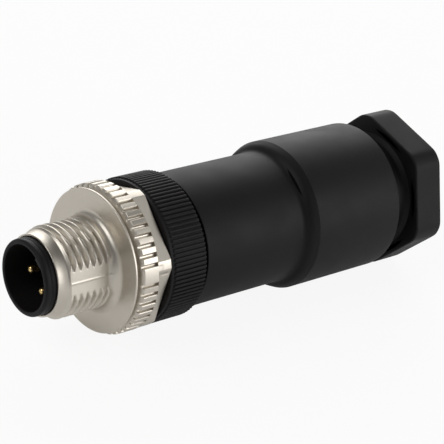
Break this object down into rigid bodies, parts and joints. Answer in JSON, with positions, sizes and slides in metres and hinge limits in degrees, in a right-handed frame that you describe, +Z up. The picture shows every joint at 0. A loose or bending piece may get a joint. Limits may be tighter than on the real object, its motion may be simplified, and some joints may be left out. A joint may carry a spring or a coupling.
{
  "type": "m12 connector",
  "caption": "Straight field-wired M12 cable plug with a knurled threaded coupling nut, keyed pin insert, ribbed grip ring, stepped sleeve and cable gland.",
  "frame": {"origin": "on the plug's axis, at the front end of the coupling nut's thread", "axes": "-X is the mating direction and +X the cable end, along the plug's axis; +Z is up, with the plug level, as its coupling thread holds it in a socket"},
  "size_m": [0.0665, 0.0218, 0.0212],
  "materials": {
    "black_plastic": "satin",
    "plated_metal": "satin nickel plate",
    "gold_plated_brass": "polished",
    "spring_steel": "bright",
    "seal_rubber": "matt",
    "grey_plastic": "matt"
  },
  "bodies": {
    "carrier": {"contact_carrier": "black_plastic", "retaining_ring": "spring_steel", "contact_pin_1": "gold_plated_brass", "contact_pin_2": "gold_plated_brass", "contact_pin_3": "gold_plated_brass", "contact_pin_4": "gold_plated_brass"},
    "nut": {"coupling_nut": "plated_metal"},
    "seal_ring": {"front_seal": "seal_rubber"},
    "housing": {"housing_sleeve": "black_plastic"},
    "clamp_stack": {"clamping_basket": "grey_plastic", "cable_seal": "seal_rubber", "thrust_washer": "grey_plastic"},
    "pressing_screw": {"gland_screw": "black_plastic"},
    "guard_1": {"wire_guard_1": "spring_steel"},
    "screw_1": {"terminal_screw_1": "plated_metal"},
    "guard_2": {"wire_guard_2": "spring_steel"},
    "screw_2": {"terminal_screw_2": "plated_metal"},
    "guard_3": {"wire_guard_3": "spring_steel"},
    "screw_3": {"terminal_screw_3": "plated_metal"},
    "guard_4": {"wire_guard_4": "spring_steel"},
    "screw_4": {"terminal_screw_4": "plated_metal"}
  },
  "joints": [
    {"name": "nut_spin", "type": "hinge", "parent": "carrier", "child": "nut", "pos_m": [0, 0, 0], "axis": [1, 0, 0], "continuous": true},
    {"name": "housing_advance", "type": "slide", "parent": "carrier", "child": "seal_ring", "axis": [1, 0, 0], "range_m": [-0.00001, 0.00501]},
    {"name": "housing_turn", "type": "hinge", "parent": "seal_ring", "child": "housing", "pos_m": [0.0205, 0, 0], "axis": [1, 0, 0], "range_deg": [0, 1800]},
    {"name": "clamp_advance", "type": "slide", "parent": "housing", "child": "clamp_stack", "axis": [1, 0, 0], "range_m": [-0.00361, 0.00301]},
    {"name": "gland_turn", "type": "hinge", "parent": "clamp_stack", "child": "pressing_screw", "pos_m": [0.05, 0, 0], "axis": [1, 0, 0], "range_deg": [-864, 720]},
    {"name": "guard_1_press", "type": "slide", "parent": "carrier", "child": "guard_1", "axis": [0, -0.9613, 0.2756], "range_m": [-0.0008, 0]},
    {"name": "screw_1_turn", "type": "hinge", "parent": "guard_1", "child": "screw_1", "pos_m": [0.02868, -0.00481, 0.00138], "axis": [0, -0.9613, 0.2756], "range_deg": [-721, 1]},
    {"name": "guard_2_press", "type": "slide", "parent": "carrier", "child": "guard_2", "axis": [0, -0.2756, -0.9613], "range_m": [-0.0008, 0]},
    {"name": "screw_2_turn", "type": "hinge", "parent": "guard_2", "child": "screw_2", "pos_m": [0.02868, -0.00138, -0.00481], "axis": [0, -0.2756, -0.9613], "range_deg": [-721, 1]},
    {"name": "guard_3_press", "type": "slide", "parent": "carrier", "child": "guard_3", "axis": [0, 0.9613, -0.2756], "range_m": [-0.0008, 0]},
    {"name": "screw_3_turn", "type": "hinge", "parent": "guard_3", "child": "screw_3", "pos_m": [0.02868, 0.00481, -0.00138], "axis": [0, 0.9613, -0.2756], "range_deg": [-721, 1]},
    {"name": "guard_4_press", "type": "slide", "parent": "carrier", "child": "guard_4", "axis": [0, 0.2756, 0.9613], "range_m": [-0.0008, 0]},
    {"name": "screw_4_turn", "type": "hinge", "parent": "guard_4", "child": "screw_4", "pos_m": [0.02868, 0.00138, 0.00481], "axis": [0, 0.2756, 0.9613], "range_deg": [-721, 1]}
  ],
  "couplings": [
    {"joint": "housing_advance", "follows": "housing_turn", "m_per_rad": 0.00015915},
    {"joint": "clamp_advance", "follows": "gland_turn", "m_per_rad": 0.00023873},
    {"joint": "screw_1_turn", "follows": "guard_1_press", "rad_per_m": 15708},
    {"joint": "screw_2_turn", "follows": "guard_2_press", "rad_per_m": 15708},
    {"joint": "screw_3_turn", "follows": "guard_3_press", "rad_per_m": 15708},
    {"joint": "screw_4_turn", "follows": "guard_4_press", "rad_per_m": 15708}
  ]
}
